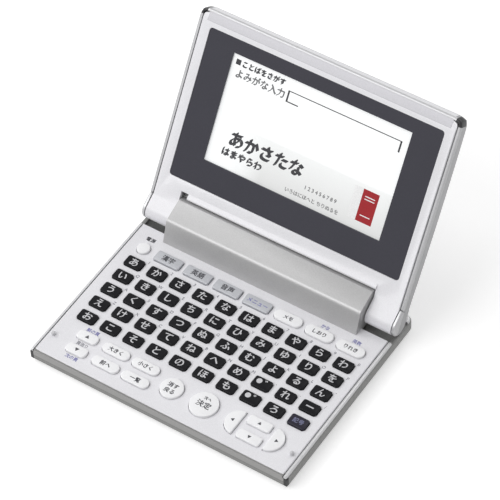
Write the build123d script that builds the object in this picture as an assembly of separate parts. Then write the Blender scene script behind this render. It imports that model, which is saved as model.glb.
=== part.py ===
"""Folding pocket dictionary: a keyboard half and a screen half on one long hinge.

Millimetres. The origin lies on the table, on the centre line of the lower half and about midway
between its front and rear, +X to the right of the person using it, +Y towards the hinge, +Z up.
The lid is stored leaning back as photographed. Each function builds one separate piece and
writes it to its own file.
"""

import math
import os

from build123d import *

os.makedirs("parts", exist_ok=True)

# Lower half: outline and levels
HALF_W = 61.95  # outer half width of both halves
HALF_D = 48.45  # from the origin to the rear edge of the lower half
CORNER = 3.2  # plan radius of the rear corners
FRONT = -46.3  # upright front face of the lower half
CASE_Z = 0.6  # underside of the case, above the feet
FLOOR_T = 1.2
WALL_T = 1.9
SPLIT_Z = 6.2  # top edge of the lower case
TRIM_Z = 7.35  # top of the bead round the lower half
FASCIA_Z = 7.6  # surface the keys stand out of
PLATE_T = 1.4
SKIRT_Z = 4.0  # lowest edge of the upper case
SEAM = 0.2  # play between neighbouring case pieces
GROOVE = 0.45  # open groove between each face and the bead round it
FASCIA_HALF_W = 59.9
FASCIA_FRONT = -45.4
FASCIA_REAR = 46.2

# Hinge: the long housing between the lid's two knuckles
AXIS_Y = 38.15
AXIS_Z = 11.5
HOUSING_HALF = 47.2
HOUSING_FRONT = 27.6
HOUSING_R = 10.25  # everything of the housing stays inside this radius behind the lip
KNUCKLE_IN = 47.7
KNUCKLE_OUT = 59.9
KNUCKLE_R = 4.7
KNUCKLE_DECK = 4.6  # floor of the pocket under each knuckle
POCKET_FRONT = 31.7
CORNER_BEAD = 44.2  # the bead starts again here, behind the knuckles
JOURNAL_R = 3.0
JOURNAL_END = 51.2
PIN_R = 1.25
PIN_FROM, PIN_TO = 46.0, 58.0
CLUTCH_R = 2.6
CLUTCH_FROM = 51.6
RUNNING = 0.07  # radial play of a turning fit

# Cells in line inside the housing
CELL_R = 5.25
CELL_Y = 34.5
CELL_Z = 7.2
CELL_END = 44.5
BAY_HALF = 45.5
COVER_HALF = 44.0
COVER_FRONT = 28.4
COVER_T = 1.2
TONGUE = 0.8

# Keys
KEY_SHIFT = 0.35  # the whole keyboard sits this far right of the middle
KEY_PITCH_X = 11.33
KEY_PITCH_Y = 8.32
KEY_ROW_Y = 11.9  # centre of the rearmost row of character keys
KEY_TOP = 8.6
KEY_FOOT = 5.2
FLANGE_TOP = 6.0
FLANGE = 0.45  # how far the hidden flange stands out round a key
KEY_GAP = 0.25
COLUMN_NAMES = ("a", "ka", "sa", "ta", "na", "ha", "ma", "ya", "ra", "wa")

# Lid, in its own frame: origin on the hinge axis, y along the lid, z out of the screen side
LID_LEAN = 56.65  # degrees above the horizontal, as stored
LID_TIP = 90.8
LID_FACE = 1.93  # screen-side surface, in front of the hinge axis
LID_BEAD_Z = 1.6
LID_SPLIT = 0.3  # plane between the front frame and the back cover
LID_BACK = -4.3
LID_CROWN = 1.2  # how much fuller the back is in the middle
LID_CORNER = 4.8
NOTCH_R = 10.6  # the lid is cut away inside this radius, round the housing
LIP_Y = 10.65
LIP_BACK = -2.0
FLARE_RUN, FLARE_RISE = 2.7, 1.15  # the lip leans out towards the keys by so much
BEND_Y = 6.8
PANEL_SHIFT = 0.2  # the display sits this far right of the middle
PANEL_HALF = 55.6
PANEL_LOW, PANEL_HIGH = 17.9, 83.8
WINDOW_HALF = 42.4
WINDOW_LOW, WINDOW_HIGH = 30.0, 77.7

SCREWS = [(x, y) for x in (-57.6, 57.6) for y in (-41.8, 27.2)]
FEET = [(x, y) for x in (-51.5, 51.5) for y in (-41.5, 42.0)]


def slab(width, depth, low, high, x=0.0, y=0.0, corner=0.0):
    """Upright block with rounded plan corners."""
    outline = RectangleRounded(width, depth, corner) if corner else Rectangle(width, depth)
    return extrude(Pos(x, y, low) * outline, high - low)


def box(x0, x1, y0, y1, z0, z1):
    """Plain block between two corners."""
    middle = Pos((x0 + x1) / 2, (y0 + y1) / 2, (z0 + z1) / 2)
    return middle * Box(x1 - x0, y1 - y0, z1 - z0)


def bar(points, x0, x1):
    """Profile in the Y-Z plane, run along X."""
    profile = Plane.YZ.offset(x0) * Polygon(*points, align=None)
    return extrude(profile, x1 - x0, dir=(1, 0, 0))


def rod(radius, x0, x1, y=0.0, z=0.0):
    """Round bar along X."""
    return Pos((x0 + x1) / 2, y, z) * Rot(0, 90, 0) * Cylinder(radius, x1 - x0)


def many_sided_rod(radius, x0, x1, y=0.0, z=0.0):
    """Bar along X with sixteen sides, for round pieces that are shut away inside."""
    outline = Plane.YZ.offset(x0) * Pos(y, z) * RegularPolygon(radius, 16)
    return extrude(outline, x1 - x0, dir=(1, 0, 0))


def post(radius, low, high, x=0.0, y=0.0, sides=10):
    """Upright of a few sides, for small fixings and the wells that take them."""
    return extrude(Pos(x, y, low) * RegularPolygon(radius, sides), high - low)


def rounded_plan(width, depth, corner, steps):
    """Rounded rectangle whose corners turn in a few straight steps, to keep facets few."""
    points = []
    for quarter in range(4):
        side_x = 1 if quarter in (0, 3) else -1
        side_y = 1 if quarter in (0, 1) else -1
        for step in range(steps + 1):
            angle = math.pi / 2 * (quarter + step / steps)
            x = side_x * (width / 2 - corner) + corner * math.cos(angle)
            y = side_y * (depth / 2 - corner) + corner * math.sin(angle)
            points.append((x, y))
    return Polygon(*points, align=None)


def mirrored(shape):
    """The same piece on the other side of the middle plane."""
    return mirror(shape, Plane.YZ)


def in_lid(shape):
    """Moves a piece built in the lid's own frame to where the lid stands."""
    return Pos(0, AXIS_Y, AXIS_Z) * Rot(LID_LEAN, 0, 0) * shape


def save(name, *solids):
    """Writes one piece, or a set of like pieces, to its own file."""
    whole = solids[0] if len(solids) == 1 else Compound(children=list(solids))
    export_step(whole, f"parts/{name}.step")


# ---- keys: plan shapes first, so that the holes in the fascia follow them


def plate_key(width, depth, corner, steps=2):
    """Plan of a rounded rectangular key; a grown one is its hole."""

    def plan(grow):
        turn = corner + grow * (1.0 if steps > 1 else 2 - math.sqrt(2))
        return rounded_plan(width + 2 * grow, depth + 2 * grow, turn, steps)

    return plan


def disc_key(radius):
    """Plan of a round key."""
    return lambda grow: RegularPolygon(radius + grow, 20)


def crescent_key(radius, side):
    """Plan of a half disc whose straight edge faces the middle of the arrow pad."""

    def plan(grow):
        reach = radius + grow
        steps = range(11)
        turns = [math.pi / 2 + math.pi * step / 10 for step in steps]
        arc = [(-side * reach * math.cos(turn), reach * math.sin(turn)) for turn in turns]
        arc = [(side * max(side * x, 0.0), y) for x, y in arc]
        edge = [(-side * grow, -reach), (-side * grow, reach)] if grow else []
        return Polygon(*arc, *edge, align=None)

    return plan


ROUND_Y = -33.75
PAD_X, PAD_Y = 38.6, -34.05
PAD_R = 6.15
PAD_HALF = 7.4  # straight edges of the crescents, either side of the pad's middle
TAB_Y = 20.3

FUNCTION_KEYS = {
    "key_power": (-52.2, TAB_Y, disc_key(2.9)),
    "key_page_up": (-44.8, -30.1, plate_key(9.6, 4.5, 1.6, 2)),
    "key_page_down": (-44.8, -37.8, plate_key(9.6, 4.5, 1.6, 2)),
    "key_round_small": (-1.1, ROUND_Y, disc_key(5.0)),
    "key_round_large": (14.4, ROUND_Y, disc_key(PAD_R)),
    "key_left": (PAD_X - PAD_HALF, PAD_Y, crescent_key(PAD_R - 0.2, -1)),
    "key_right": (PAD_X + PAD_HALF, PAD_Y, crescent_key(PAD_R - 0.2, 1)),
    "key_up": (PAD_X, PAD_Y + 3.9, plate_key(10.7, 4.4, 0.8, 1)),
    "key_down": (PAD_X, PAD_Y - 3.9, plate_key(10.7, 4.4, 0.8, 1)),
}
for number, x in enumerate((-39.6, -24.95, -10.3, 4.3), 1):
    FUNCTION_KEYS[f"key_tab_{number}"] = (x, TAB_Y, plate_key(12.4, 5.2, 0.7, 1))
for number, x in enumerate((19.2, 34.1, 49.0), 1):
    FUNCTION_KEYS[f"key_oval_{number}"] = (x, TAB_Y, plate_key(12.9, 5.2, 2.5, 4))
for number, (x, y) in enumerate(((-30.7, -30.1), (-16.2, -30.1), (-30.7, -37.7), (-16.2, -37.7)), 1):
    FUNCTION_KEYS[f"key_pill_{number}"] = (x, y, plate_key(12.8, 4.7, 2.25, 4))

CHARACTER_KEY = plate_key(8.1, 5.2, 0.75, 1)


def column_x(index):
    return (index - 4.5) * KEY_PITCH_X + KEY_SHIFT


def row_y(index):
    return KEY_ROW_Y - index * KEY_PITCH_Y


def keycap(x, y, plan):
    """Cap with a broken top edge, and the hidden flange that keeps it under the fascia."""
    outline = plan(0)
    cap = extrude(Pos(x, y, FLANGE_TOP) * outline, KEY_TOP - FLANGE_TOP, dir=(0, 0, 1))
    cap = chamfer(cap.faces().sort_by(Axis.Z)[-1].edges(), 0.25)
    size = outline.bounding_box().size
    centre = outline.bounding_box().center()
    width, depth = size.X + 2 * FLANGE, size.Y + 2 * FLANGE
    return cap + slab(width, depth, KEY_FOOT, FLANGE_TOP, x + centre.X, y + centre.Y)


def keyhole(x, y, plan):
    """Cutter for the hole that a key moves in."""
    outline = Pos(x, y, FASCIA_Z - PLATE_T - 0.5) * plan(KEY_GAP)
    return extrude(outline, PLATE_T + 1, dir=(0, 0, 1))


def keys():
    """Ten columns of five character keys, and the function keys round them."""
    for index, name in enumerate(COLUMN_NAMES):
        caps = [keycap(column_x(index), row_y(row), CHARACTER_KEY) for row in range(5)]
        save(f"kana_keys_{name}", *caps)
    for name, (x, y, plan) in FUNCTION_KEYS.items():
        save(name, keycap(x + KEY_SHIFT, y, plan))


# ---- lower half


def upper_case():
    """Keyboard fascia with its skirt and screw posts, cut away under the knuckles."""
    depth = FASCIA_REAR - FASCIA_FRONT
    middle = (FASCIA_REAR + FASCIA_FRONT) / 2
    case = slab(2 * FASCIA_HALF_W, depth, SKIRT_Z, FASCIA_Z, 0, middle, CORNER - 1)
    case = chamfer(case.faces().sort_by(Axis.Z)[-1].edges(), 0.3)
    skirt_in = FASCIA_HALF_W - PLATE_T
    case -= box(-skirt_in, skirt_in, FASCIA_FRONT + PLATE_T, 26.2, SKIRT_Z - 1, FASCIA_Z - PLATE_T)
    rear = FASCIA_REAR + 1
    case -= box(-HOUSING_HALF, HOUSING_HALF, HOUSING_FRONT, 44.8, 0, 9)
    case -= box(-HOUSING_HALF, HOUSING_HALF, 44.5, rear, FASCIA_Z - PLATE_T, 9)
    pocket = box(HOUSING_HALF, HALF_W, POCKET_FRONT, rear, 0, 9)
    case -= pocket
    case -= mirrored(pocket)
    for x, y in SCREWS:
        case += post(2.0, CASE_Z + FLOOR_T, FASCIA_Z - PLATE_T, x, y)
        case -= post(0.8, 0, 5.4, x, y)
    for index in range(10):
        for row in range(5):
            case -= keyhole(column_x(index), row_y(row), CHARACTER_KEY)
    for x, y, plan in FUNCTION_KEYS.values():
        case -= keyhole(x + KEY_SHIFT, y, plan)
    save("upper_case", case)


def base_trim():
    """Bright beads along both sides of the lower half, and at its rear corners."""
    shrink = 0.3
    ring = slab(2 * (HALF_W - shrink), 2 * (HALF_D - shrink), SPLIT_Z, TRIM_Z, corner=CORNER)
    ring = fillet(ring.faces().sort_by(Axis.Z)[-1].edges(), 0.9)
    inner_depth = FASCIA_REAR - FASCIA_FRONT + 2 * GROOVE
    middle = (FASCIA_REAR + FASCIA_FRONT) / 2
    ring -= slab(2 * (FASCIA_HALF_W + GROOVE), inner_depth, 0, 9, 0, middle, CORNER - 1)
    ring -= box(-HALF_W, HALF_W, -HALF_D - 1, FRONT + 0.1, 0, 9)
    ring -= box(-FASCIA_HALF_W - GROOVE, FASCIA_HALF_W + GROOVE, FRONT - 1, FASCIA_FRONT + 4, 0, 9)
    ring -= box(-HALF_W, HALF_W, POCKET_FRONT, CORNER_BEAD, 0, 9)
    ring -= box(-KNUCKLE_IN - 1, KNUCKLE_IN + 1, POCKET_FRONT, HALF_D + 1, 0, 9)
    save("base_trim", ring)


def lower_case():
    """Tray with the battery bay, its rails, screw wells, and the ledges under the knuckles."""
    tray = slab(2 * HALF_W, 2 * HALF_D, CASE_Z, SPLIT_Z, corner=CORNER)
    foot = FRONT + 1.0
    before = [(FRONT, 9), (FRONT, CASE_Z + 1.0), (foot, CASE_Z), (foot, -1), (-60, -1), (-60, 9)]
    tray = chamfer(tray.faces().sort_by(Axis.Z)[0].edges(), 1.1)
    tray = fillet(tray.faces().sort_by(Axis.Z)[-1].edges(), 0.6)
    tray += box(-FASCIA_HALF_W, FASCIA_HALF_W, FRONT, FRONT + 3, SPLIT_Z - 1, FASCIA_Z - 0.3)
    tray -= bar(before, -HALF_W - 1, HALF_W + 1)
    inside = CASE_Z + FLOOR_T
    low, high = FASCIA_FRONT - 0.15, HALF_D - WALL_T
    tray -= slab(2 * (HALF_W - WALL_T), high - low, 4.0, 9, 0, (low + high) / 2, CORNER - 1)
    low, high = FASCIA_FRONT + 0.9, HALF_D - 3.6
    tray -= slab(2 * (HALF_W - WALL_T), high - low, inside, 9, 0, (low + high) / 2, CORNER - 1)
    bay_end = BAY_HALF + 1.7
    for low, high in ((27.0, COVER_FRONT), (40.4, 41.6)):
        tray += box(-bay_end, bay_end, low, high, inside, SKIRT_Z - 0.1)
    for side in (-1, 1):
        low, high = sorted((side * (BAY_HALF + 0.1), side * bay_end))
        tray += box(low, high, 27.0, 41.6, inside, SKIRT_Z - 0.1)
    wall = HALF_W - 1
    ledge = box(HOUSING_HALF + SEAM, wall, POCKET_FRONT + SEAM, HALF_D - 1, inside, KNUCKLE_DECK)
    tray += ledge
    tray += mirrored(ledge)
    opening = COVER_HALF + SEAM
    tray -= box(-opening, opening, COVER_FRONT - SEAM, HALF_D + 1, 0, inside + 0.2)
    rail = opening + TONGUE
    tray -= box(-rail, rail, COVER_FRONT - SEAM, HALF_D + 1, CASE_Z + 0.4, CASE_Z + 0.9)
    for x, y in SCREWS:
        tray -= post(1.0, 0, inside, x, y)
        tray -= post(1.9, 0, CASE_Z + 0.7, x, y)
    for x, y in FEET:
        tray -= post(3.5, 0, CASE_Z + 0.3, x, y)
    save("lower_case", tray)


def battery_cover():
    """Sliding cover on the underside, with tongues in the tray's rails and grip ribs."""
    top = CASE_Z + COVER_T
    rear = HALF_D - 1.3
    reach = COVER_HALF + TONGUE
    cover = box(-COVER_HALF, COVER_HALF, COVER_FRONT, rear, CASE_Z, top)
    cover += box(-reach, reach, COVER_FRONT, rear, CASE_Z + 0.5, CASE_Z + 0.8)
    for index in range(5):
        y = 42.6 + index * 0.9
        cover -= box(-7, 7, y, y + 0.4, 0, CASE_Z + 0.25)
    save("battery_cover", cover)


def housing_profile():
    """Side outline of the hinge housing: leaning front, sloped top, round back."""
    edge_y, edge_z = 31.3, 17.8
    slope = math.radians(20.9)
    back = HOUSING_R**2
    reach_y, reach_z = edge_y - AXIS_Y, edge_z - AXIS_Z
    along = reach_y * math.cos(slope) + reach_z * math.sin(slope)
    run = -along + math.sqrt(along**2 + back - reach_y**2 - reach_z**2)
    crest = (edge_y + run * math.cos(slope), edge_z + run * math.sin(slope))
    foot = FASCIA_Z - PLATE_T
    heel = (AXIS_Y + math.sqrt(back - (AXIS_Z - foot) ** 2), foot)
    outline = [
        Line((HOUSING_FRONT, foot), (HOUSING_FRONT, FASCIA_Z)),
        Line((HOUSING_FRONT, FASCIA_Z), (edge_y, edge_z)),
        Line((edge_y, edge_z), crest),
        ThreePointArc(crest, (AXIS_Y + HOUSING_R, AXIS_Z), heel),
        Line(heel, (HOUSING_FRONT, foot)),
    ]
    face = make_face(outline)
    front_edge = face.vertices().sort_by_distance((edge_y, edge_z, 0))[0]
    return fillet(front_edge, 2.4)


def hinge_housing():
    """Long housing over the cells, with a journal at each end for the lid to turn on."""
    body = extrude(Plane.YZ.offset(-HOUSING_HALF) * housing_profile(), 2 * HOUSING_HALF)
    body -= many_sided_rod(CELL_R + 0.35, -BAY_HALF, BAY_HALF, CELL_Y, CELL_Z)
    body -= box(-BAY_HALF, BAY_HALF, CELL_Y - 5.5, CELL_Y + 5.5, 0, CELL_Z)
    journal = rod(JOURNAL_R, HOUSING_HALF, JOURNAL_END, AXIS_Y, AXIS_Z)
    body += journal
    body += mirrored(journal)
    bore = rod(PIN_R, PIN_FROM, JOURNAL_END + 1, AXIS_Y, AXIS_Z)
    body -= bore
    body -= mirrored(bore)
    save("hinge_housing", body)


def hinge_pins_and_clutches():
    """Steel pins fixed in the housing; friction sleeves fixed in the lid's knuckles."""
    pin = rod(PIN_R, PIN_FROM, PIN_TO, AXIS_Y, AXIS_Z)
    sleeve = rod(CLUTCH_R, CLUTCH_FROM, PIN_TO, AXIS_Y, AXIS_Z)
    sleeve -= rod(PIN_R + RUNNING, CLUTCH_FROM - 1, PIN_TO + 1, AXIS_Y, AXIS_Z)
    save("hinge_pin_right", pin)
    save("hinge_pin_left", mirrored(pin))
    save("hinge_clutch_right", sleeve)
    save("hinge_clutch_left", mirrored(sleeve))


def cells_and_contacts():
    """Two small round cells in line, and the sprung plates that close on their ends."""
    can = many_sided_rod(CELL_R, 0.1, CELL_END - 1.0, CELL_Y, CELL_Z)
    nub = many_sided_rod(1.9, CELL_END - 1.0, CELL_END, CELL_Y, CELL_Z)
    save("cell_right", can + nub)
    can = many_sided_rod(CELL_R, -CELL_END, -1.0, CELL_Y, CELL_Z)
    nub = many_sided_rod(1.9, -1.0, 0.1, CELL_Y, CELL_Z)
    save("cell_left", can + nub)
    plate = box(45.0, BAY_HALF, CELL_Y - 4, CELL_Y + 4, 3.0, 11.0)
    stud = many_sided_rod(2.4, CELL_END, 45.0, CELL_Y, CELL_Z)
    right = plate + stud
    save("battery_contacts", right, mirrored(right))


def board_and_membrane():
    """Circuit board across the lower half, and the rubber sheet that lifts the keys."""
    board = slab(108.0, 68.0, 2.4, 3.4, 0, -9.8)
    for x, y, width in ((-22, 2, 16), (6, 4, 12), (30, -8, 10)):
        board += box(x, x + width, y, y + width, 1.95, 2.4)
    save("main_board", board)
    sheet = slab(106.0, 66.5, 3.4, 3.9, KEY_SHIFT, -9.8)
    spots = [(x + KEY_SHIFT, y) for x, y, _ in FUNCTION_KEYS.values()]
    pads = [box(x - 1.8, x + 1.8, y - 1.4, y + 1.4, 3.9, 4.3) for x, y in spots]
    for index in range(10):
        x = column_x(index)
        pads.append(box(x - 1.8, x + 1.8, row_y(4) - 1.4, row_y(0) + 1.4, 3.9, 4.3))
    save("key_membrane", sheet, *pads)


def screws_feet_bumpers():
    """Small fixings: case screws, rubber feet, and the two stops the lid shuts on."""
    screws = []
    for x, y in SCREWS:
        shank = post(0.8, CASE_Z + 0.7, 5.4, x, y)
        head = post(1.6, CASE_Z + 0.1, CASE_Z + 0.7, x, y)
        screws.append(head + shank)
    save("case_screws", *screws)
    save("rubber_feet", *[post(3.5, 0, CASE_Z + 0.3, x, y) for x, y in FEET])
    bumpers = []
    for x in (-57.5, 57.5):
        bump = post(0.9, FASCIA_Z, 9.3, x, -35.7)
        bumpers.append(chamfer(bump.faces().sort_by(Axis.Z)[-1].edges(), 0.35))
    save("lid_bumpers", *bumpers)


# ---- lid, built in its own frame and leaned back by in_lid


def knuckle_bar(x0, x1):
    """Round boss on the axis that blends into the flat of the lid on both sides."""
    corners = []
    for face_z, turn in ((LID_FACE, 1), (LID_BACK, -1)):
        reach = math.hypot(BEND_Y, face_z)
        touch = math.atan2(face_z, BEND_Y) + turn * math.acos(KNUCKLE_R / reach)
        corners.append((KNUCKLE_R * math.cos(touch), KNUCKLE_R * math.sin(touch)))
    front, back = corners
    web = bar([(0, 0), front, (BEND_Y, LID_FACE), (BEND_Y, LID_BACK), back], x0, x1)
    return rod(KNUCKLE_R, x0, x1) + web


def knuckle():
    """Right-hand knuckle, bored for the journal and for the friction sleeve."""
    body = knuckle_bar(KNUCKLE_IN, KNUCKLE_OUT)
    body -= rod(JOURNAL_R + RUNNING, KNUCKLE_IN - 1, JOURNAL_END + SEAM)
    body -= rod(CLUTCH_R, KNUCKLE_IN, PIN_TO)
    return body


def cheek():
    """Rounded end plate beside the right-hand knuckle, shared by the bead and the cover."""
    plate = knuckle_bar(KNUCKLE_OUT + GROOVE, HALF_W - 0.15)
    return chamfer(plate.faces().sort_by(Axis.X)[-1].edges(), 0.55)


def notch_cutter():
    """Room that the lid leaves for the hinge housing between its knuckles."""
    return rod(NOTCH_R, -KNUCKLE_IN, KNUCKLE_IN)


def lip():
    """Lower edge of the front frame: it flares out, rounds over and clears the housing."""
    points = [
        (LIP_Y + 3.0, LID_FACE),
        (LIP_Y + FLARE_RUN, LID_FACE),
        (LIP_Y, LID_FACE + FLARE_RISE),
        (LIP_Y, LIP_BACK),
        (LIP_Y + 2.5, LIP_BACK),
        (LIP_Y + 2.5, LID_SPLIT),
        (LIP_Y + 3.0, LID_SPLIT),
    ]
    outline = Polygon(*points, align=None)
    corner = outline.vertices().sort_by_distance((LIP_Y, LID_FACE + FLARE_RISE, 0))[0]
    return extrude(Plane.YZ.offset(-KNUCKLE_IN) * fillet(corner, 0.8), 2 * KNUCKLE_IN)


def lid_bezel():
    """Front frame of the lid with both knuckles and the rounded lip over the housing."""
    top = LID_TIP - 1.6
    low = BEND_Y - 2
    frame = slab(2 * KNUCKLE_OUT, top - low, LID_SPLIT, LID_FACE, 0, (top + low) / 2)
    frame = fillet(frame.edges().filter_by(Axis.Z).group_by(Axis.Y)[-1], LID_CORNER - 1.8)
    frame = chamfer(frame.faces().sort_by(Axis.Z)[-1].edges(), 0.3)
    frame -= box(-KNUCKLE_IN, KNUCKLE_IN, 0, LIP_Y + 3.0, -3, 3)
    frame += lip()
    frame += knuckle()
    frame += mirrored(knuckle())
    slope = [(top - 3.2, LID_FACE), (top + 1, LID_FACE - 0.8), (top + 1, 3), (top - 3.2, 3)]
    frame -= bar(slope, -70, 70)
    frame -= box(-KNUCKLE_IN, -44.0, BEND_Y, LIP_Y + 2.6, -3, 3)
    depth = PANEL_HIGH - PANEL_LOW
    centre = (PANEL_HIGH + PANEL_LOW) / 2
    frame -= Pos(PANEL_SHIFT, centre, 0.9) * extrude(rounded_plan(2 * PANEL_HALF, depth, 1.4, 3), 2)
    frame -= slab(2 * PANEL_HALF - 2, depth - 2, 0, 3, PANEL_SHIFT, centre)
    save("lid_bezel", in_lid(frame))


def lid_bead():
    """Bright bead round the lid, between the front frame and the back cover."""
    width = 2 * (HALF_W - 0.15)
    bead = slab(width, LID_TIP - BEND_Y, LID_SPLIT, LID_BEAD_Z, 0, (LID_TIP + BEND_Y) / 2)
    bead = fillet(bead.edges().filter_by(Axis.Z).group_by(Axis.Y)[-1], LID_CORNER)
    bead = fillet(bead.faces().sort_by(Axis.Z)[-1].edges(), 0.8)
    inner_top = LID_TIP - 1.6 + GROOVE
    hole = slab(2 * (KNUCKLE_OUT + GROOVE), inner_top + 5, -1, 4, 0, (inner_top - 5) / 2)
    hole = fillet(hole.edges().filter_by(Axis.Z).group_by(Axis.Y)[-1], LID_CORNER - 1.8)
    bead -= hole
    front_of_cheek = cheek() & box(50, 70, -9, 9, LID_SPLIT, 9)
    bead += front_of_cheek
    bead += mirrored(front_of_cheek)
    save("lid_bead", in_lid(bead))


def lid_back():
    """Outer cover of the lid: crowned back, rounded rim, and a cheek beside each knuckle."""
    radius = (LID_TIP / 2) ** 2 / (2 * LID_CROWN)
    seam_z = LID_SPLIT - SEAM / 2
    half = HALF_W - 0.15
    block = slab(2 * half, LID_TIP, -7, seam_z, 0, LID_TIP / 2)
    block = fillet(block.edges().filter_by(Axis.Z).group_by(Axis.Y)[-1], LID_CORNER)
    block &= rod(radius, -70, 70, LID_TIP / 2, LID_BACK - LID_CROWN + radius)
    block = fillet(block.faces().sort_by(Axis.Z)[0].edges(), 1.4)
    block -= box(-70, 70, -6, BEND_Y + SEAM, -9, 9)
    back_of_cheek = cheek() & box(50, 70, -9, 9, -9, seam_z)
    web = box(KNUCKLE_OUT + GROOVE, half, BEND_Y - 1, BEND_Y + 2, -2.6, seam_z)
    block += back_of_cheek + web
    block += mirrored(back_of_cheek + web)
    block -= notch_cutter()
    block -= box(-KNUCKLE_IN - SEAM, KNUCKLE_IN + SEAM, 0, LIP_Y + 2.7, LIP_BACK - SEAM, 3)
    block -= slab(2 * half - 5, 73.2, -2.9, 3, 0, 51.4)
    save("lid_back", in_lid(block))


def display():
    """Dark surround, the liquid-crystal cell that shows in its window, and the metal tray."""
    centre = (PANEL_HIGH + PANEL_LOW) / 2
    shift = PANEL_SHIFT
    depth = PANEL_HIGH - PANEL_LOW - 0.2
    panel = Pos(shift, centre, 0.95) * extrude(rounded_plan(2 * PANEL_HALF - 0.2, depth, 1.3, 3), 0.8)
    low, high = WINDOW_LOW, WINDOW_HIGH
    middle = (high + low) / 2
    panel -= slab(2 * WINDOW_HALF, high - low, 0, 3, shift, middle)
    save("screen_surround", in_lid(panel))
    save("lcd_glass", in_lid(slab(2 * WINDOW_HALF + 3.2, high - low + 2.8, 0.1, 0.95, shift, middle)))
    tray = slab(2 * WINDOW_HALF + 6.4, high - low + 7.0, -1.8, 0.1, shift, middle - 1.0)
    save("lcd_frame", in_lid(tray))
    ribbon = box(-38.0, -26.0, 15.2, low - 4.5, -2.0, -1.85)
    ribbon += box(-52.5, -26.0, 15.2, 18.0, -2.0, -1.85)
    save("lid_ribbon", in_lid(ribbon))


keys()
upper_case()
base_trim()
lower_case()
battery_cover()
hinge_housing()
hinge_pins_and_clutches()
cells_and_contacts()
board_and_membrane()
screws_feet_bumpers()
lid_bezel()
lid_bead()
lid_back()
display()
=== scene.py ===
"""Looks of a folding pocket dictionary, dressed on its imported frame. Metres, +Z up, hinge to +Y."""

from math import atan2, cos, degrees, radians, sin, sqrt

import bmesh
import bpy
import numpy as np
from mathutils import Matrix


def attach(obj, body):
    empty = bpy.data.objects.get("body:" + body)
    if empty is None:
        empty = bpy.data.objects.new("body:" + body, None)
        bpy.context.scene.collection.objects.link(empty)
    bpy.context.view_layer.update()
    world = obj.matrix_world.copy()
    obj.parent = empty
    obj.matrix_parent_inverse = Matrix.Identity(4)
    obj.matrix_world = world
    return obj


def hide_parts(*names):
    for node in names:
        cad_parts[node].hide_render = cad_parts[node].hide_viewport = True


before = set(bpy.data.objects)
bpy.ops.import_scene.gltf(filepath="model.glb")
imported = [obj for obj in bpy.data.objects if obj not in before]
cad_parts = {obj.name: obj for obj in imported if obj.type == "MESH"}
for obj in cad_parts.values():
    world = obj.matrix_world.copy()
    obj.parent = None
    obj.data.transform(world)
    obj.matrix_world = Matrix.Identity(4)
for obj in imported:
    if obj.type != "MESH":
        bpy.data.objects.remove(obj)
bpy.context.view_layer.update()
MM = 0.001

# ---- Tray of the lower half -------------------------------------------------------------
# The real tray is one injection moulding in grey metallic resin, lightly spark-eroded. Its
# flat front face is the grey band below the keyboard, with the mould's parting line across
# it, and its rounded front corners carry a painted dark reflection.


def feed(tree, socket, value):
    """Gives a socket a number or colour, or links another node's output to it."""
    if isinstance(value, bpy.types.NodeSocket):
        tree.links.new(value, socket)
    else:
        socket.default_value = value


def node(tree, kind, **inputs):
    """One shader node; each input is a number, a colour or another node's output."""
    made = tree.nodes.new("ShaderNode" + kind)
    for name, value in inputs.items():
        feed(tree, made.inputs[name.replace("_", " ")], value)
    return made


def blank(name, colour, **shader):
    """A Principled material, with what is the same all over set on the shader itself."""
    material = bpy.data.materials.new(name)
    material.use_nodes = True
    tree = material.node_tree
    surface = tree.nodes["Principled BSDF"]
    surface.inputs["Base Color"].default_value = (*colour, 1)
    for key, value in shader.items():
        surface.inputs[key.replace("_", " ")].default_value = value
    place = tree.nodes.new("ShaderNodeTexCoord").outputs["Object"]
    return material, tree, surface, place


def maths(tree, operation, first, second=0.5):
    """One arithmetic step on numbers or other nodes' outputs."""
    step = tree.nodes.new("ShaderNodeMath")
    step.operation = operation
    feed(tree, step.inputs[0], first)
    feed(tree, step.inputs[1], second)
    return step.outputs[0]


def ranged(tree, value, start, stop, low=0.0, high=1.0):
    """Low to high in a straight line as value runs from start to stop, and level past both."""
    limits = {"From_Min": start, "From_Max": stop, "To_Min": low, "To_Max": high}
    return node(tree, "MapRange", Value=value, **limits).outputs["Result"]


COLOUR_A, COLOUR_B, COLOUR_OUT = 6, 7, 2  # the Mix node's colour sockets


def blended(tree, share, first, second, kind="MIX"):
    """Colour that runs from first to second as share goes from 0 to 1."""
    mix = tree.nodes.new("ShaderNodeMix")
    mix.data_type = "RGBA"
    mix.blend_type = kind
    feed(tree, mix.inputs["Factor"], share)
    for socket, colour in ((COLOUR_A, first), (COLOUR_B, second)):
        feed(tree, mix.inputs[socket], (*colour, 1) if isinstance(colour, tuple) else colour)
    return mix.outputs[COLOUR_OUT]


def overpaint(material, share_of, colour):
    """Lays a second colour over the first where share_of(tree, x, y, z) says so."""
    tree = material.node_tree
    colours = tree.nodes["Principled BSDF"].inputs["Base Color"]
    place = node(tree, "TexCoord").outputs["Object"]
    share = share_of(tree, *node(tree, "SeparateXYZ", Vector=place).outputs)
    first = colours.links[0].from_socket
    tree.links.new(blended(tree, share, first, colour), colours)


DRIFT_SCALE = 45.0  # slow colour drift, in waves per metre
ROUGH_SPREAD = 0.06


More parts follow.
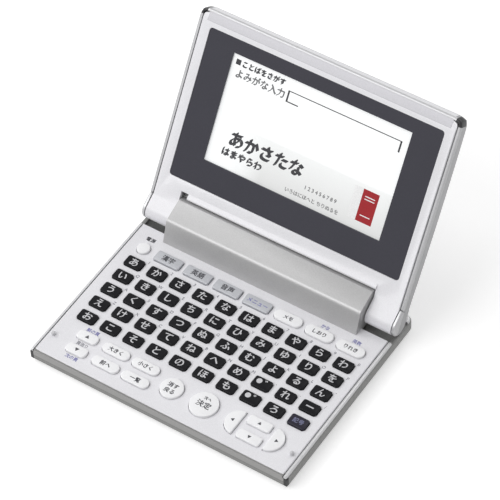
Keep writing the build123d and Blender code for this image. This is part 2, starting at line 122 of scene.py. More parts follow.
def varied(tree, surface, place, colour, rough, drift, fleck, fleck_mm):
    """Colour = base x (1 + drift x slow noise + fleck x random grain); roughness follows both."""
    slow = node(tree, "TexNoise", Vector=place, Scale=DRIFT_SCALE, Detail=3.0).outputs["Fac"]
    grain = node(tree, "TexVoronoi", Vector=place, Scale=1000 / fleck_mm).outputs["Color"]
    single = node(tree, "SeparateColor", Color=grain).outputs["Red"]
    share = drift / (drift + fleck)
    both = node(tree, "Mix", Factor=share, A=single, B=slow).outputs["Result"]
    level = ranged(tree, both, 0.2, 0.8, 1 - drift - fleck, 1 + drift + fleck)
    tint = node(tree, "VectorMath", Vector=colour)
    tint.operation = "SCALE"
    tree.links.new(level, tint.inputs["Scale"])
    tree.links.new(tint.outputs["Vector"], surface.inputs["Base Color"])
    gloss = ranged(tree, both, 0.0, 1.0, rough - ROUGH_SPREAD, rough + ROUGH_SPREAD)
    tree.links.new(gloss, surface.inputs["Roughness"])


def textured(tree, surface, place, grain_mm, depth_mm):
    """Height = depth x fine noise of that grain, as spark-eroded tool steel leaves it."""
    fine = node(tree, "TexNoise", Vector=place, Scale=1000 / grain_mm, Detail=2.0)
    bump = node(tree, "Bump", Height=fine.outputs["Fac"], Distance=depth_mm * MM)
    tree.links.new(bump.outputs["Normal"], surface.inputs["Normal"])


def moulded(
    name,
    colour,
    rough,
    drift=0.03,
    fleck=0.04,
    fleck_mm=0.2,
    grain_mm=0.35,
    depth_mm=0.006,
    **shader,
):
    """Moulded resin: slow colour drift, a fleck of pigment or metal flake, and a fine grain."""
    material, tree, surface, place = blank(name, colour, **shader)
    varied(tree, surface, place, colour, rough, drift, fleck, fleck_mm)
    textured(tree, surface, place, grain_mm, depth_mm)
    return material


WELD = 2e-6
SAME_FACE, ROUND_FROM, SHARP_FROM = radians(0.5), radians(28), radians(40)


def softened(name, source, body, material, width_mm):
    """The CAD solid welded and re-faced, its sharp edges rounded by a Bevel of that width."""
    welded = bmesh.new()
    welded.from_mesh(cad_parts[source].data)
    bmesh.ops.remove_doubles(welded, verts=welded.verts, dist=WELD)
    everything = {"verts": welded.verts, "edges": welded.edges}
    bmesh.ops.dissolve_limit(welded, angle_limit=SAME_FACE, **everything)
    for face in welded.faces:
        face.smooth = True
    mesh = bpy.data.meshes.new(name)
    welded.to_mesh(mesh)
    welded.free()
    mesh.set_sharp_from_angle(angle=SHARP_FROM)
    mesh.materials.append(material)
    piece = bpy.data.objects.new(name, mesh)
    bpy.context.collection.objects.link(piece)
    rounding = piece.modifiers.new("rounding", "BEVEL")
    rounding.width = width_mm * MM
    rounding.segments = 2
    rounding.limit_method = "ANGLE"
    rounding.angle_limit = ROUND_FROM
    rounding.harden_normals = True
    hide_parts(source)
    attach(piece, body)
    return piece


def dress(source, material):
    """A CAD node whose shape is right keeps it and takes a finish."""
    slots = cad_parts[source].data.materials
    slots.clear()
    slots.append(material)


def rounded_front_corners(piece, reach_mm):
    """Rounds the two outermost upright edges at the front of the lower half."""
    lean, tall, side, front = 0.02, 0.2, 61.4, -46.0  # in mm
    shell = bmesh.new()
    shell.from_mesh(piece.data)
    corners = []
    for edge in shell.edges:
        (x0, y0, z0), (x1, y1, z1) = (vertex.co / MM for vertex in edge.verts)
        upright = abs(x0 - x1) < lean and abs(y0 - y1) < lean and abs(z0 - z1) > tall
        if upright and min(abs(x0), abs(x1)) > side and max(y0, y1) < front:
            corners.append(edge)
    rounding = {"offset": reach_mm * MM, "segments": 6, "profile": 0.5, "clamp_overlap": True}
    bmesh.ops.bevel(shell, geom=corners, affect="EDGES", **rounding)
    for face in shell.faces:
        face.smooth = True
    shell.to_mesh(piece.data)
    shell.free()
    piece.data.set_sharp_from_angle(angle=SHARP_FROM)


FRONT_Y, PARTING_Z, LINE_HALF = -46.22, 3.8, 0.14
CORNER_X, CORNER_Y = 60.3, -44.9
RESIN_GREY = (0.24, 0.24, 0.235)


def front_face(tree, x, y, z):
    """The flat upright face at the front."""
    return maths(tree, "LESS_THAN", y, FRONT_Y * MM)


def lower_step(tree, x, y, z):
    """Front face below the mould's parting line."""
    below = maths(tree, "LESS_THAN", z, PARTING_Z * MM)
    return maths(tree, "MULTIPLY", front_face(tree, x, y, z), below)


def parting_line(tree, x, y, z):
    """Thin line along the front face: nearer to its height than half its width."""
    away = maths(tree, "ABSOLUTE", maths(tree, "SUBTRACT", z, PARTING_Z * MM))
    near = maths(tree, "LESS_THAN", away, LINE_HALF * MM)
    return maths(tree, "MULTIPLY", front_face(tree, x, y, z), near)


def painted_corner_reflection(tree, x, y, z):
    """The rounded upright corners at the front, where a dark reflection is painted."""
    out = maths(tree, "GREATER_THAN", maths(tree, "ABSOLUTE", x), CORNER_X * MM)
    return maths(tree, "MULTIPLY", out, maths(tree, "LESS_THAN", y, CORNER_Y * MM))


case_resin = moulded("case_resin", RESIN_GREY, 0.42, fleck=0.10, Metallic=0.3)
overpaint(case_resin, front_face, (0.33, 0.325, 0.32))
overpaint(case_resin, lower_step, RESIN_GREY)
overpaint(case_resin, parting_line, (0.12, 0.12, 0.12))
# The rounded front corners are painted near-black as a painted dark reflection.
overpaint(case_resin, painted_corner_reflection, (0.012, 0.012, 0.013))
tray = softened("tray_shell", "lower_case", "base", case_resin, width_mm=0.12)
rounded_front_corners(tray, reach_mm=2.0)

# ---- Fixings and feet under the tray ----------------------------------------------------
# Four black oxide screws, cross-headed, hold the tray to the fascia. Four die-cut rubber
# pads are stuck in shallow seats.

screw_metal = moulded("screw_metal", (0.05, 0.05, 0.055), 0.38, fleck=0.2, Metallic=0.8)
dress("case_screws", screw_metal)
foot_rubber = moulded("foot_rubber", (0.03, 0.03, 0.032), 0.75, grain_mm=0.5, depth_mm=0.03)
softened("foot_pads", "rubber_feet", "base", foot_rubber, width_mm=0.2)

# ---- Cells, contacts and cell cover -----------------------------------------------------
# Two shrink-wrapped cells lie in line, held between nickel plates. The cover slides in rails
# and is the tray's own resin.

CELL_MM = 44
BARE_STEEL, DARK_BAND = (0.55, 0.54, 0.52, 1), (0.05, 0.07, 0.12, 1)
SILVER_FOIL = (0.62, 0.63, 0.65, 1)


def wrapped_cell(name, cap_at):
    """Foil wrap with a dark band at the minus end; bare steel past the wrap's two edges."""
    material, tree, surface, place = blank(name, (0.6, 0.6, 0.6), Roughness=0.28, Metallic=0.9)
    along = node(tree, "SeparateXYZ", Vector=place).outputs["X"]
    ramp = node(tree, "ValToRGB", Fac=ranged(tree, along, (cap_at - CELL_MM) * MM, cap_at * MM))
    ramp.color_ramp.interpolation = "CONSTANT"
    stops = ramp.color_ramp.elements
    stops[0].color = BARE_STEEL
    stops[1].position, stops[1].color = 0.012, DARK_BAND
    for position, shade in ((0.34, SILVER_FOIL), (0.965, BARE_STEEL)):
        stops.new(position).color = shade
    tree.links.new(ramp.outputs["Color"], surface.inputs["Base Color"])
    textured(tree, surface, place, grain_mm=1.2, depth_mm=0.01)
    return material


dress("cell_right", wrapped_cell("cell_wrap_right", 44.5))
dress("cell_left", wrapped_cell("cell_wrap_left", 0.1))
nickel = moulded("nickel", (0.62, 0.59, 0.54), 0.25, fleck=0.06, depth_mm=0.002, Metallic=1.0)
dress("battery_contacts", nickel)
softened("cover_slide", "battery_cover", "battery_cover", case_resin, width_mm=0.1)

# ---- Circuit board and key sheet --------------------------------------------------------
# Green solder resist over copper traces, black chips on the lower side, and a translucent
# grey silicone sheet with a raised strip under each column of keys.

BOARD_FOOT = 2.385  # underside of the board; its chips hang lower


def solder_resist():
    """Green mask whose traces are bands of a slanted wave; what stands below it is chip black."""
    material, tree, surface, place = blank("solder_resist", (0.02, 0.16, 0.07), Roughness=0.32)
    wave = node(tree, "TexWave", Vector=place, Scale=220.0, Distortion=3.0, Detail_Scale=0.4)
    trace = ranged(tree, wave.outputs["Fac"], 0.62, 0.7)
    green = blended(tree, trace, (0.015, 0.12, 0.05), (0.05, 0.26, 0.12))
    height = node(tree, "SeparateXYZ", Vector=place).outputs["Z"]
    chip = maths(tree, "LESS_THAN", height, BOARD_FOOT * MM)
    painted = blended(tree, chip, green, (0.015, 0.015, 0.017))
    tree.links.new(painted, surface.inputs["Base Color"])
    textured(tree, surface, place, grain_mm=0.6, depth_mm=0.01)
    return material


dress("main_board", solder_resist())
silicone = moulded("silicone", (0.52, 0.52, 0.55), 0.55, fleck=0.02, Subsurface_Weight=0.1)
softened("key_sheet", "key_membrane", "base", silicone, width_mm=0.1)

# ---- Keyboard fascia --------------------------------------------------------------------
# White resin sprayed with pearl lacquer, pierced for every key. Small characters are pad
# printed beside the holes.

pearl = moulded(
    "pearl", (0.83, 0.825, 0.855), 0.34, fleck=0.04, fleck_mm=0.14, depth_mm=0.003, Coat_Weight=0.3
)


def squared_corners(piece, centre, share, origin, axis):
    """Tightens two plan corners: points past centre move out by 1 + share x (r / larger - 1).

    The offset from centre is |x| and the distance along axis from origin; r is its length and
    larger the greater of its two parts.
    """
    points = np.zeros(len(piece.data.vertices) * 3)
    piece.data.vertices.foreach_get("co", points)
    points = points.reshape(-1, 3) / MM
    axis = np.array(axis, float)
    along = (points - origin) @ axis
    away = np.stack([np.abs(points[:, 0]), along], 1) - centre
    stretch = share * (np.linalg.norm(away, axis=1) / np.maximum(away.max(1), 1e-9) - 1)
    moved = np.where((away > 0).all(1)[:, None], away * stretch[:, None], 0.0)
    points[:, 0] += np.sign(points[:, 0]) * moved[:, 0]
    points += moved[:, 1:] * axis
    piece.data.vertices.foreach_set("co", (points * MM).ravel())
    piece.data.update()


fascia = softened("fascia", "upper_case", "base", pearl, width_mm=0.12)
squared_corners(fascia, centre=(57.7, 43.2), share=0.8, origin=(0, 0, 0), axis=(0, -1, 0))

MID_LINE = 0.37  # a character's middle above its foot, as a share of its size


def line_of(words, size):
    """Outlines of one line of characters, centred on its middle, as points and faces in mm."""
    curve = bpy.data.curves.new("line", "FONT")
    curve.body = words
    curve.size = size
    curve.align_x = "CENTER"
    curve.resolution_u = 4
    holder = bpy.data.objects.new("line", curve)
    bpy.context.collection.objects.link(holder)
    ready = holder.evaluated_get(bpy.context.evaluated_depsgraph_get())
    mesh = bpy.data.meshes.new_from_object(ready)
    points = np.zeros(len(mesh.vertices) * 3)
    mesh.vertices.foreach_get("co", points)
    points = points.reshape(-1, 3)
    points[:, 1] -= MID_LINE * size
    faces = [tuple(face.vertices) for face in mesh.polygons]
    bpy.data.objects.remove(holder)
    bpy.data.curves.remove(curve)
    bpy.data.meshes.remove(mesh)
    return points, faces


def flat_at(height):
    """Places printed outlines level, at that height in mm."""
    return lambda points: points + (0, 0, height)


def joined(parts):
    """One set of points and faces from several; each part's faces are renumbered in turn."""
    points, faces, used = [], [], 0
    for part, polygons in parts:
        points.append(part)
        faces += [tuple(index + used for index in polygon) for polygon in polygons]
        used += len(part)
    return np.concatenate(points), faces


def new_piece(name, points, faces, material):
    """A mesh object of one finish; its points are given in mm."""
    mesh = bpy.data.meshes.new(name)
    mesh.from_pydata(points * MM, [], faces)
    mesh.materials.append(material)
    piece = bpy.data.objects.new(name, mesh)
    bpy.context.collection.objects.link(piece)
    return piece


STRIKES = (-0.5, 0.0, 0.5)
STRIKE_RISE = 0.004


def printed(name, marks, placed, material, body):
    """Thin ink: marks are (words, size, x, y, bold) in mm, struck three times across bold."""
    parts = []
    for words, size, x, y, bold in marks:
        outline, polygons = line_of(words, size)
        for strike in STRIKES:
            struck = outline + (x + strike * bold, y + strike * bold, STRIKE_RISE * strike)
            parts.append((placed(struck), polygons))
    piece = new_piece(name, *joined(parts), material)
    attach(piece, body)


def ink(name, colour, rough=0.45):
    """Pad-printed ink, slightly uneven in cover."""
    return moulded(name, colour, rough, drift=0.04, fleck=0.05, grain_mm=0.2, depth_mm=0.002)


SHIFT = 0.35  # the keys lie this far to the right of the middle
PITCH_X, PITCH_Y = 11.33, 8.32
REAR_ROW = 11.9
FASCIA_TOP, INK_RISE = 7.6, 0.015
BESIDE_X, BESIDE_Y = 5.0, 3.6  # from a key's middle to the letter beside it
column_x = [(index - 4.5) * PITCH_X + SHIFT for index in range(10)]
row_y = [REAR_ROW - index * PITCH_Y for index in range(5)]

pale_ink = ink("pale_ink", (0.25, 0.25, 0.28))
grey_ink = ink("grey_ink", (0.05, 0.05, 0.06))
blue_ink = ink("blue_ink", (0.20, 0.20, 0.42))
on_fascia = flat_at(FASCIA_TOP + INK_RISE)
corner_marks = [
    (letter, 2.0, column_x[index % 10] + BESIDE_X, row_y[index // 10] + BESIDE_Y, 0.10)
    for index, letter in enumerate("1234567890QWERTYUIOPASDFGHJKL-ZXCVBNM,./")
]
printed("corner_marks", corner_marks, on_fascia, pale_ink, "base")
printed("power_mark", [("電源", 2.2, -52.4 + SHIFT, 26.0, 0.16)], on_fascia, grey_ink, "base")
blue_marks = [
    ("かな", 2.0, 34.6, 24.7, 0.14),
    ("英数", 2.0, 49.6, 24.7, 0.14),
    ("前の頁", 2.0, -44.4, -26.3, 0.14),
    ("次の頁", 2.0, -44.4, -41.6, 0.14),
]
printed("blue_marks", blue_marks, on_fascia, blue_ink, "base")
printed("page_mark", [("頁送り", 1.9, -44.4, -33.95, 0.12)], on_fascia, pale_ink, "base")

# ---- Beads of the lower half ------------------------------------------------------------
# A thin satin-silver moulding, clipped between fascia and tray, runs along both sides and
# round the rear corners. Its front ends are rounded like the tray's corners.

bead_silver = moulded(
    "bead_silver", (0.60, 0.60, 0.61), 0.34, fleck=0.05, fleck_mm=0.15, Metallic=0.5
)
bead = softened("lower_bead", "base_trim", "base", bead_silver, width_mm=0.1)
rounded_front_corners(bead, reach_mm=1.9)

# ---- Character keys ---------------------------------------------------------------------
# Fifty double-sized black caps with a high gloss, five to a column, each on the rubber
# sheet. Tops are flat with a rolled edge, and the characters are printed in pale grey.

LEAST_STEPS, STEP_DEGREES = 5, 9


def outline_of(arcs, inset):
    """Closed plan outline: points centre + (radius - inset)(cos t, sin t) on each arc in turn."""
    runs = []
    for x, y, radius, start, stop in arcs:
        count = max(LEAST_STEPS, int(abs(stop - start) / STEP_DEGREES))
        turn = np.radians(np.linspace(start, stop, count))
        reach = radius - inset
        runs.append(np.stack([x + reach * np.cos(turn), y + reach * np.sin(turn)], 1))
    return np.concatenate(runs)


def plate(width, depth, corner):
    """Four corner arcs of a rounded rectangle."""
    x, y = width / 2 - corner, depth / 2 - corner
    signs = ((1, 1), (-1, 1), (-1, -1), (1, -1))
    return [(sx * x, sy * y, corner, 90 * q, 90 * q + 90) for q, (sx, sy) in enumerate(signs)]


ROLL_CREASE = radians(34)
CAP_EDGE = (  # inset and height of each ring, from the hidden foot to the flat top
    (-0.45, 5.2),
    (-0.45, 6.0),
    (0.0, 6.0),
    (0.0, 8.25),
    (0.04, 8.45),
    (0.14, 8.56),
    (0.3, 8.6),
)


def closed_skin(rings, count):
    """Faces of a tube of rings, each of count points, with a face across each of its ends."""
    ring, point = np.meshgrid(np.arange(rings - 1), np.arange(count), indexing="ij")
    after = (point + 1) % count
    corners = [ring * count + point, ring * count + after]
    corners += [(ring + 1) * count + after, (ring + 1) * count + point]
    walls = np.stack(corners, -1).reshape(-1, 4).tolist()
    top, foot = range((rings - 1) * count, rings * count), range(count - 1, -1, -1)
    return [tuple(face) for face in (*walls, top, foot)]


def cap_faces(arcs, x, y):
    """Cap: plan outlines inset along an edge profile, closed by a flat top and a flat foot."""
    rings = []
    for inset, height in CAP_EDGE:
        outline = outline_of(arcs, inset)
        rings.append(np.column_stack([outline, np.full(len(outline), height)]))
    return np.concatenate(rings) + (x, y, 0), closed_skin(len(rings), len(rings[0]))


def caps(name, source, arcs, spots, material):
    """One mesh of like caps that stands for a key node and moves with it."""
    piece = new_piece(name, *joined(cap_faces(arcs, x, y) for x, y in spots), material)
    piece.data.shade_smooth()
    piece.data.set_sharp_from_angle(angle=ROLL_CREASE)
    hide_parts(source)
    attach(piece, source)
    return piece


polish = {"rough": 0.2, "fleck": 0.02, "depth_mm": 0.001}
gloss_black = moulded("gloss_black", (0.005, 0.005, 0.007), **polish, Specular_IOR_Level=0.16)
navy_cap = moulded("navy_cap", (0.018, 0.016, 0.030), **polish, Specular_IOR_Level=0.25)
key_ink = ink("key_ink", (0.62, 0.62, 0.64), 0.3)
on_key = flat_at(CAP_EDGE[-1][1] + INK_RISE)
dusk_ink = ink("dusk_ink", (0.15, 0.155, 0.26))
COLUMNS = {
    "a": "あいうえお",
    "ka": "かきくけこ",
    "sa": "さしすせそ",
    "ta": "たちつてと",
    "na": "なにぬねの",
    "ha": "はひふへほ",
    "ma": "まみむめも",
    "ya": "やゆよ  ",
    "ra": "らりるれろ",
    "wa": "わをんー ",
}
square_cap = plate(8.1, 5.2, 0.9)
for index, (column, characters) in enumerate(COLUMNS.items()):
    x, keys = column_x[index], f"kana_keys_{column}"
    piece = caps(f"caps_{column}", keys, square_cap, [(x, y) for y in row_y], gloss_black)
    marks = [(sign, 4.3, x, y, 0.17) for sign, y in zip(characters, row_y) if sign.strip()]
    if column == "ya":
        for sign, y in zip("゛゜", row_y[3:]):
            marks += [("●", 3.3, x - 1.5, y + 0.5, 0.0), (sign, 4.0, x + 2.6, y + 0.2, 0.1)]
    if column == "wa":
        piece.data.materials.append(navy_cap)
        slot = np.zeros(len(piece.data.polygons), int)
        slot[-(len(slot) // len(row_y)) :] = 1  # the faces of the frontmost cap
        piece.data.polygons.foreach_set("material_index", slot)
        printed("characters_sign", [("記号", 2.5, x, row_y[4], 0.15)], on_key, dusk_ink, keys)
    printed(f"characters_{column}", marks, on_key, key_ink, keys)

# ---- Function keys ----------------------------------------------------------------------
# White round, oval and pill caps and four pale grey tabs have the character keys' build, are
# moulded in colour and are printed in grey. Two soft grey stops take the shut lid.

even = {"drift": 0.01, "fleck": 0.01, "depth_mm": 0.002}
white_cap = moulded("white_cap", (0.94, 0.94, 0.955), 0.30, **even, Coat_Weight=0.5)
grey_cap = moulded("grey_cap", (0.53, 0.54, 0.57), 0.34, fleck=0.05, depth_mm=0.002, Metallic=0.2)
ROUND_Y, PAD_X, PAD_Y, TAB_Y = -33.75, 38.6, -34.05, 20.3


def disc(radius):
    """One arc all the way round, stopping just short of its own start."""
    return [(0, 0, radius, 0, 357)]


def crescent(radius, side):
    """Half disc with small corners; its straight edge faces the middle of the arrow pad."""
    corner = 0.55
    rise = sqrt((radius - corner) ** 2 - corner**2)
    lean = degrees(atan2(rise, corner))
    if side > 0:
        arcs = [(0, 0, radius, -lean, lean), (corner, rise, corner, lean, 180)]
        return arcs + [(corner, -rise, corner, 180, 360 - lean)]
    arcs = [(0, 0, radius, 180 - lean, 180 + lean), (-corner, -rise, corner, 180 + lean, 360)]
    return arcs + [(-corner, rise, corner, 0, 180 - lean)]


function_keys = {
    "key_power": (-52.2, TAB_Y, disc(2.9), white_cap),
    "key_page_up": (-44.8, -30.1, plate(9.6, 4.5, 1.6), white_cap),
    "key_page_down": (-44.8, -37.8, plate(9.6, 4.5, 1.6), white_cap),
    "key_round_small": (-1.1, ROUND_Y, disc(5.0), white_cap),
    "key_round_large": (14.4, ROUND_Y, disc(6.15), white_cap),
    "key_left": (PAD_X - 7.4, PAD_Y, crescent(5.95, -1), white_cap),
    "key_right": (PAD_X + 7.4, PAD_Y, crescent(5.95, 1), white_cap),
    "key_up": (PAD_X, PAD_Y + 3.9, plate(10.7, 4.4, 0.9), white_cap),
    "key_down": (PAD_X, PAD_Y - 3.9, plate(10.7, 4.4, 0.9), white_cap),
}
for number, x in enumerate((-39.6, -24.95, -10.3, 4.3), 1):
    function_keys[f"key_tab_{number}"] = (x, TAB_Y, plate(12.4, 5.2, 0.7), grey_cap)
for number, x in enumerate((19.2, 34.1, 49.0), 1):
    function_keys[f"key_oval_{number}"] = (x, TAB_Y, plate(12.9, 5.2, 2.5), white_cap)
pill_spots = [(x, y) for y in (-30.1, -37.7) for x in (-30.7, -16.2)]
for number, (x, y) in enumerate(pill_spots, 1):
    function_keys[f"key_pill_{number}"] = (x, y, plate(12.8, 4.7, 2.25), white_cap)
for key, (x, y, arcs, finish) in function_keys.items():
    caps(f"cap_{key.removeprefix('key_')}", key, arcs, [(x + SHIFT, y)], finish)

LEGENDS = {
    "key_page_up": (("▲", 1.9, 0, 0),),
    "key_page_down": (("▼", 1.9, 0, 0),),
    "key_round_small": (("消す", 2.5, 0, 1.3), ("戻る", 2.5, 0, -1.7)),
    "key_round_large": (("次へ", 1.7, 0, 2.9), ("決定", 3.3, 0, -0.3)),
    "key_left": (("◀", 1.6, -3.0, 0),),
    "key_right": (("▶", 1.6, 3.0, 0),),
    "key_up": (("▲", 1.6, 0, 0),),
    "key_down": (("▼", 1.6, 0, 0),),
    "key_tab_1": (("漢字", 3.1, 0, 0),),
    "key_tab_2": (("英語", 3.1, 0, 0),),
    "key_tab_3": (("音声", 3.1, 0, 0),),
    "key_oval_1": (("メモ", 2.3, 0, 0),),
    "key_oval_2": (("しおり", 2.3, 0, 0),),
    "key_oval_3": (("りれき", 2.3, 0, 0),),
    "key_pill_1": (("大きく", 2.4, 0, 0),),
    "key_pill_2": (("小さく", 2.4, 0, 0),),
    "key_pill_3": (("前へ", 2.5, 0, 0),),
    "key_pill_4": (("一覧", 2.5, 0, 0),),
}
for key, lines in LEGENDS.items():
    x, y = function_keys[key][:2]
    marks = [(words, size, x + SHIFT + dx, y + dy, 0.16) for words, size, dx, dy in lines]
    printed(f"legend_{key.removeprefix('key_')}", marks, on_key, grey_ink, key)
x, y = function_keys["key_tab_4"][:2]
printed("legend_tab_4", [("メニュー", 2.5, x + SHIFT, y, 0.16)], on_key, blue_ink, "key_tab_4")
rubber_grey = moulded("rubber_grey", (0.62, 0.62, 0.64), 0.6, fleck=0.03)
softened("shut_stops", "lid_bumpers", "base", rubber_grey, width_mm=0.1)

# ---- Hinge housing, pins and sleeves ----------------------------------------------------
# One long moulding in satin silver with a fine metallic grain covers the cells. Ground steel
# pins turn in spring sleeves inside the knuckles.

housing_silver = moulded(
    "housing_silver", (0.48, 0.478, 0.48), 0.36, drift=0.02, fleck=0.06, fleck_mm=0.14, Metallic=0.3
)
softened("cell_housing", "hinge_housing", "base", housing_silver, width_mm=0.15)
ground_steel = moulded("ground_steel", (0.56, 0.56, 0.57), 0.22, fleck=0.03, Metallic=1.0)
spring_steel = moulded("spring_steel", (0.35, 0.34, 0.33), 0.35, fleck=0.05, Metallic=1.0)
for side in ("left", "right"):
    dress(f"hinge_pin_{side}", ground_steel)
    dress(f"hinge_clutch_{side}", spring_steel)

# ---- Lid: front frame, bead, cover and rail ---------------------------------------------
# The front frame is pearl white like the fascia and carries both knuckles. A satin bead runs
# round its edge, and the cover behind is silver-painted resin with a crowned back. A sloped
# silver rail closes the tip; its top face carries a painted highlight, and the corners beside
# it are painted dark as painted shade.

LEAN = radians(56.65)  # of the open lid above the level
AXIS_Y, AXIS_Z = 38.15, 11.5


def on_lid(height):
    """Lays outlines on the lid: x stays, y runs up the lid from the axis, height stands out."""

    def place(points):
        x, up, out = points.T
        out = out + height
        y = AXIS_Y + up * cos(LEAN) - out * sin(LEAN)
        z = AXIS_Z + up * sin(LEAN) + out * cos(LEAN)
        return np.stack([x, y, z], 1)

    return place


def up_the_lid(tree, y, z):
    """Distance up the lid from the axis: (y - axis y) cos(lean) + (z - axis z) sin(lean)."""
    deep = maths(tree, "MULTIPLY", maths(tree, "SUBTRACT", y, AXIS_Y * MM), cos(LEAN))
    high = maths(tree, "MULTIPLY", maths(tree, "SUBTRACT", z, AXIS_Z * MM), sin(LEAN))
    return maths(tree, "ADD", deep, high)


CORNER_OUT, CORNER_UP, HIGHLIGHT_UP = 58.6, 87.6, 90.6


def painted_lid_corner_shade(tree, x, y, z):
    """The two rounded corners at the lid's tip, where dark shade is painted."""
    out = maths(tree, "GREATER_THAN", maths(tree, "ABSOLUTE", x), CORNER_OUT * MM)
    high = maths(tree, "GREATER_THAN", up_the_lid(tree, y, z), CORNER_UP * MM)
    return maths(tree, "MULTIPLY", out, high)


def painted_top_highlight(tree, x, y, z):
    """The narrow outer face of the rail, painted pale as a painted highlight from above."""
    return maths(tree, "GREATER_THAN", up_the_lid(tree, y, z), HIGHLIGHT_UP * MM)


satin = {"rough": 0.34, "fleck": 0.05, "Metallic": 0.5}
lid_silver = moulded("lid_silver", (0.50, 0.50, 0.51), **satin, fleck_mm=0.15)
cover_silver = moulded("cover_silver", (0.37, 0.37, 0.38), **satin, fleck_mm=0.16)
for silver in (lid_silver, cover_silver):
    # The lid's tip corners are painted near-black as painted shade.
    overpaint(silver, painted_lid_corner_shade, (0.03, 0.03, 0.032))
lid_shells = [
    softened("lid_front", "lid_bezel", "lid", pearl, width_mm=0.12),
    softened("upper_bead", "lid_bead", "lid", lid_silver, width_mm=0.1),
    softened("lid_cover", "lid_back", "lid", cover_silver, width_mm=0.12),
]
up_the_face = {"origin": (0, AXIS_Y, AXIS_Z), "axis": (0, cos(LEAN), sin(LEAN))}
for shell in lid_shells:
    squared_corners(shell, centre=(57.0, 86.0), share=0.35, **up_the_face)

RAIL_HALF, RAIL_CREASE = 57.6, radians(35)
RAIL = (  # distance up the lid and height off its face, round the rail's section
    (85.9, 1.2),
    (85.9, 1.94),
    (86.4, 1.91),
    (89.2, 1.42),
    (90.0, 1.3),
    (90.5, 1.15),
    (90.84, 0.6),
    (90.84, -2.7),
    (90.6, -2.7),
    (90.4, 0.3),
)
rail_silver = moulded(
    "rail_silver", (0.46, 0.455, 0.48), 0.40, fleck=0.06, fleck_mm=0.16, Metallic=0.3
)
# The rail's top face is painted pale as a painted highlight.
overpaint(rail_silver, painted_top_highlight, (0.78, 0.78, 0.80))
stations = np.linspace(-RAIL_HALF, RAIL_HALF, 24)
swept = np.zeros((len(stations), len(RAIL), 3))
swept[..., 0], swept[..., 1:] = stations[:, None], np.array(RAIL)
outward = [face[::-1] for face in closed_skin(len(stations), len(RAIL))]
rail = new_piece("top_rail", on_lid(0.0)(swept.reshape(-1, 3)), outward, rail_silver)
rail.data.shade_smooth()
rail.data.set_sharp_from_angle(angle=RAIL_CREASE)
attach(rail, "lid")

# ---- Display ----------------------------------------------------------------------------
# A clear window is printed dark from behind, round the liquid-crystal cell. The cell shows a
# plain index page; behind it lie the pressed tray and the amber flex circuit.


def lid_sheet(name, rects, height, material):
    """Thin printed rectangles on the display: each is (x0, x1, y0, y1) in the lid's own mm."""
    corners = [[(x0, y0, 0), (x1, y0, 0), (x1, y1, 0), (x0, y1, 0)] for x0, x1, y0, y1 in rects]
    points = on_lid(height)(np.array(corners, float).reshape(-1, 3))
    faces = [tuple(range(4 * index, 4 * index + 4)) for index in range(len(rects))]
    piece = new_piece(name, points, faces, material)
    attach(piece, "lid")


surround = moulded(
    "surround", (0.045, 0.044, 0.058), 0.2, fleck=0.03, depth_mm=0.001, Specular_IOR_Level=0.3
)
softened("window_surround", "screen_surround", "lid", surround, width_mm=0.08)

GLASS = 0.95  # the display's face, out from the hinge axis
PAGE_WHITE, CELL_WHITE, CELL_GAP = (0.94, 0.95, 0.95), (1, 1, 1, 1), (0.93, 0.93, 0.93, 1)


def glass_height(up):
    """Height in metres of what lies that far up the display's face."""
    return (AXIS_Z + up * sin(LEAN) + GLASS * cos(LEAN)) * MM


def lit_page():
    """White page; a grey band deepens down the lid and fades to the left; fine cell grid."""
    glow = {"Roughness": 0.25, "Emission_Strength": 0.22}
    material, tree, surface, place = blank("lit_page", PAGE_WHITE, **glow)
    surface.inputs["Emission Color"].default_value = (0.96, 0.98, 1.0, 1)
    x, _, z = node(tree, "SeparateXYZ", Vector=place).outputs
    down = ranged(tree, z, glass_height(49.5), glass_height(31.0))
    across = ranged(tree, x, -32.0 * MM, -16.0 * MM)
    fade = maths(tree, "MULTIPLY", down, across)
    shade = blended(tree, fade, (0.84, 0.85, 0.84), (0.64, 0.64, 0.63))
    inside = maths(tree, "MULTIPLY", maths(tree, "GREATER_THAN", down, 0.001), across)
    page = blended(tree, inside, PAGE_WHITE, shade)
    cells = node(tree, "TexBrick", Vector=place, Scale=1.0, Mortar_Size=0.015 * MM)
    cells.offset = 0.0
    feed(tree, cells.inputs["Brick Width"], 0.25 * MM)
    feed(tree, cells.inputs["Row Height"], 0.21 * MM)
    for socket, colour in (("Color1", CELL_WHITE), ("Color2", CELL_WHITE), ("Mortar", CELL_GAP)):
        feed(tree, cells.inputs[socket], colour)
    grid = blended(tree, 1.0, page, cells.outputs["Color"], "MULTIPLY")
    tree.links.new(grid, surface.inputs["Base Color"])
    return material


dress("lcd_glass", lit_page())
pressed_steel = moulded("pressed_steel", (0.55, 0.55, 0.55), 0.32, fleck=0.05, Metallic=0.9)
dress("lcd_frame", pressed_steel)
amber = moulded("amber", (0.55, 0.27, 0.05), 0.35, fleck=0.05)
dress("lid_ribbon", amber)

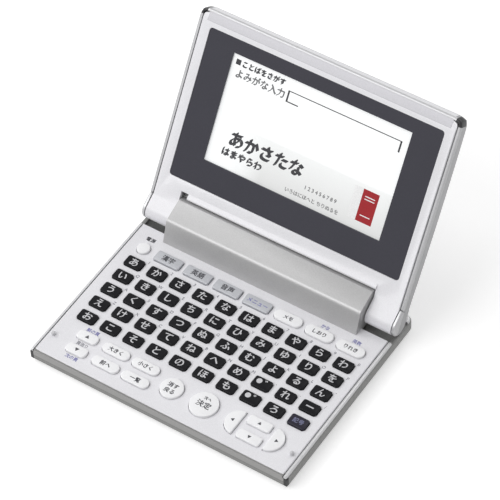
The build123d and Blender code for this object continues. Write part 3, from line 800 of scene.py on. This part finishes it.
page_ink = ink("page_ink", (0.02, 0.02, 0.025))
soft_ink = ink("soft_ink", (0.16, 0.16, 0.165))
page_red = ink("page_red", (0.35, 0.002, 0.008), 0.6)
page_white = ink("page_white", (0.95, 0.95, 0.95))
PAGE = GLASS + INK_RISE
on_page = on_lid(PAGE)
printed("page_heading", [("ことばをさがす", 3.0, -27.0, 74.6, 0.4)], on_page, page_ink, "lid")
printed("page_label", [("よみがな入力", 4.0, -27.4, 70.0, 0.3)], on_page, soft_ink, "lid")
field = [
    (-14.4, 39.4, 72.0, 72.4),
    (-14.4, -13.6, 67.5, 72.4),
    (38.6, 39.4, 67.5, 72.4),
    (-14.4, -8.4, 67.4, 67.9),
    (-40.4, -38.1, 73.4, 75.7),
]
lid_sheet("page_lines", field, PAGE, page_ink)
lid_sheet("page_card", [(29.6, 37.0, 33.8, 47.6)], PAGE - 0.002, page_red)
leaves = [
    (25.6, 29.6, 33.8, 47.6),
    (31.0, 35.6, 44.6, 45.0),
    (31.0, 35.6, 43.4, 43.8),
    (31.0, 35.6, 36.4, 36.8),
]
lid_sheet("page_leaf", leaves, PAGE + 0.001, page_white)
title = [("あかさたな", 7.2, -16.0, 43.4, 0.75), ("はまやらわ", 3.9, -26.0, 37.0, 0.5)]
printed("page_title", title, on_page, page_ink, "lid")
small = [
    ("1 2 3 4 5 6 7 8 9", 2.3, 12.0, 37.4, 0.12),
    ("いろはにほへと ちりぬるを", 2.1, 9.0, 33.2, 0.1),
]
printed("page_small", small, on_page, soft_ink, "lid")

# ---- Studio -----------------------------------------------------------------------------
# A pale table under one large soft lamp at the front left, a smaller one at the left and a
# weak one behind. The table and the surroundings are whiter to the eye and in reflections
# than the light that they give.

floor_mesh = bpy.data.meshes.new("floor")
floor_mesh.from_pydata([(-3, -3, 0), (3, -3, 0), (3, 3, 0), (-3, 3, 0)], [], [(0, 1, 2, 3)])
floor = bpy.data.objects.new("floor", floor_mesh)
bpy.context.collection.objects.link(floor)
paper = bpy.data.materials.new("paper")
paper.use_nodes = True
tree = paper.node_tree
tree.nodes.clear()
rays = node(tree, "LightPath").outputs
seen = maths(tree, "MAXIMUM", rays["Is Camera Ray"], rays["Is Glossy Ray"])
matt = node(tree, "BsdfDiffuse", Color=(0.86, 0.86, 0.86, 1))
lift = node(tree, "Emission", Color=(1, 1, 1, 1), Strength=maths(tree, "MULTIPLY", seen, 0.42))
both = node(tree, "AddShader")
feed(tree, both.inputs[0], matt.outputs[0])
feed(tree, both.inputs[1], lift.outputs[0])
node(tree, "OutputMaterial", Surface=both.outputs[0])
floor_mesh.materials.append(paper)

world = bpy.data.worlds.new("studio")
bpy.context.scene.world = world
world.use_nodes = True
tree = world.node_tree
rays = node(tree, "LightPath").outputs
seen = maths(tree, "MAXIMUM", rays["Is Camera Ray"], rays["Is Glossy Ray"])
seen = maths(tree, "MAXIMUM", seen, rays["Is Transmission Ray"])
background = tree.nodes["Background"].inputs
background["Color"].default_value = (1, 1, 1, 1)
feed(tree, background["Strength"], ranged(tree, seen, 0.0, 1.0, 0.4, 1.0))

OBJECT_MIDDLE = (0, 0.02, 0.03)


def lamp(name, place, size, power):
    """A square soft lamp at place, turned to face the middle of the object."""
    light = bpy.data.lights.new(name, "AREA")
    light.size = size
    light.energy = power
    holder = bpy.data.objects.new(name, light)
    back = np.array(place, float) - OBJECT_MIDDLE
    back /= np.linalg.norm(back)
    side = np.cross((0, 0, 1), back)
    side /= np.linalg.norm(side)
    up = np.cross(back, side)
    turn = np.eye(4)
    turn[:3, :3] = np.stack([side, up, back], 1)
    turn[:3, 3] = place
    holder.matrix_world = Matrix(turn.tolist())
    bpy.context.collection.objects.link(holder)


lamp("key_lamp", (-0.60, -0.90, 1.05), size=1.0, power=9.2)
lamp("side_lamp", (-1.05, 0.10, 0.95), size=0.5, power=5.0)
lamp("rear_lamp", (0.2, 1.2, 1.1), size=1.0, power=4.0)

lens = bpy.data.cameras.new("camera")
lens.sensor_width = 36.0
lens.lens = 227.06
lens.clip_end = 20.0
camera = bpy.data.objects.new("camera", lens)
view = np.eye(4)
view[:3, 0] = (0.83368, 0.55037, -0.04548)  # to the right of the picture
view[:3, 1] = (-0.39795, 0.6558, 0.64153)  # up the picture
view[:3, 2] = (0.3829, -0.51673, 0.76575)  # towards the camera
view[:3, 3] = (0.484139, -0.629375, 1.003704)  # its place
camera.matrix_world = Matrix(view.tolist())
bpy.context.collection.objects.link(camera)
bpy.context.scene.camera = camera
bpy.context.scene.view_settings.view_transform = "Standard"
